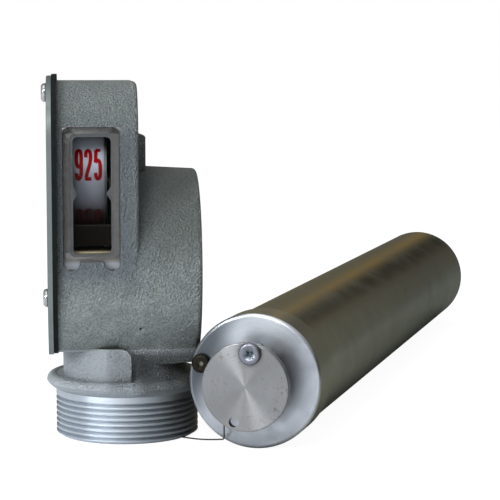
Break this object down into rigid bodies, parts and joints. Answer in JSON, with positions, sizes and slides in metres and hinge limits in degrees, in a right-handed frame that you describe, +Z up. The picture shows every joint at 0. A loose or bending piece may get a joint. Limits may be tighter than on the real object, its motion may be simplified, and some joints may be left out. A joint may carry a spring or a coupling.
{
  "type": "float level gauge",
  "caption": "Tank level gauge: threaded cast head with a numbered tape behind a window, spring drum, and a long cylindrical float on a thin wire.",
  "frame": {"origin": "on the axis of the tank thread, in the plane of the stub's lower rim, which stands on the floor", "axes": "+Z up along the thread out of the tank, -Y the side with the window, +X from the cover plate to the spring boss"},
  "size_m": [0.2448, 0.388, 0.1503],
  "materials": {
    "cast_aluminium": "sand-cast aluminium, blasted, with the thread and the window recess machined",
    "plate_steel": "plain sheet steel with a thin zinc coat",
    "gasket_rubber": "black rubber sheet",
    "polished_steel": "polished pan-head screws",
    "window_glass": "clear flat pane",
    "sealant": "brownish clear sealant",
    "frame_steel": "sheet steel frame and turned shafts",
    "brass": "turned and cut brass",
    "reel_aluminium": "turned aluminium",
    "tape_white": "white lacquered steel tape with red figures",
    "guard_dark": "dark brown lacquered sheet",
    "spring_steel": "blued spring steel",
    "zinc_screw": "zinc-plated cross-recess screw",
    "stainless": "turned stainless steel, satin",
    "wire_steel": "thin stainless wire"
  },
  "bodies": {
    "gauge_head": {"gauge_housing": "cast_aluminium", "cover_plate": "plate_steel", "cover_gasket": "gasket_rubber", "cover_screws": "polished_steel", "window_pane": "window_glass", "pane_sealant": "sealant", "outer_frame_plate": "frame_steel", "inner_frame_plate": "frame_steel", "frame_pillars": "brass", "frame_screws": "zinc_screw", "frame_bushes": "brass", "end_bush": "brass", "tape_guard": "guard_dark", "tape_span": "tape_white", "wire_guide": "brass", "inner_wire": "wire_steel", "spring_barrel": "frame_steel", "barrel_lid": "frame_steel", "barrel_screws": "zinc_screw", "mainspring": "spring_steel", "suspension_wire": "wire_steel", "float_flange": "stainless", "float_tube": "stainless", "float_end_cap": "stainless", "float_spool": "stainless", "spool_winding": "wire_steel", "spool_lock_screw": "zinc_screw", "float_plug": "frame_steel"},
    "wire_drum": {"drum_shaft": "frame_steel", "wire_drum": "reel_aluminium", "drum_winding": "wire_steel", "drum_gear": "brass"},
    "scale_reel": {"reel_shaft": "frame_steel", "scale_reel": "reel_aluminium", "scale_tape": "tape_white", "reel_gear": "brass"},
    "tape_spool": {"spool_shaft": "frame_steel", "tape_spool": "reel_aluminium", "spool_tape": "tape_white"}
  },
  "joints": [
    {"name": "drum_spin", "type": "hinge", "parent": "gauge_head", "child": "wire_drum", "pos_m": [0, 0, 0.071], "axis": [1, 0, 0], "range_deg": [-3373.2, 226.8]},
    {"name": "reel_spin", "type": "hinge", "parent": "gauge_head", "child": "scale_reel", "pos_m": [0, -0.008, 0.1061], "axis": [1, 0, 0], "range_deg": [-145.3, 2147.6]},
    {"name": "take_up_spin", "type": "hinge", "parent": "gauge_head", "child": "tape_spool", "pos_m": [0, 0.0235, 0.0755], "axis": [1, 0, 0], "range_deg": [-435.7, 6466.6]}
  ],
  "couplings": [
    {"joint": "reel_spin", "follows": "drum_spin", "ratio": -0.63636},
    {"joint": "take_up_spin", "follows": "drum_spin", "ratio": -1.9168}
  ]
}
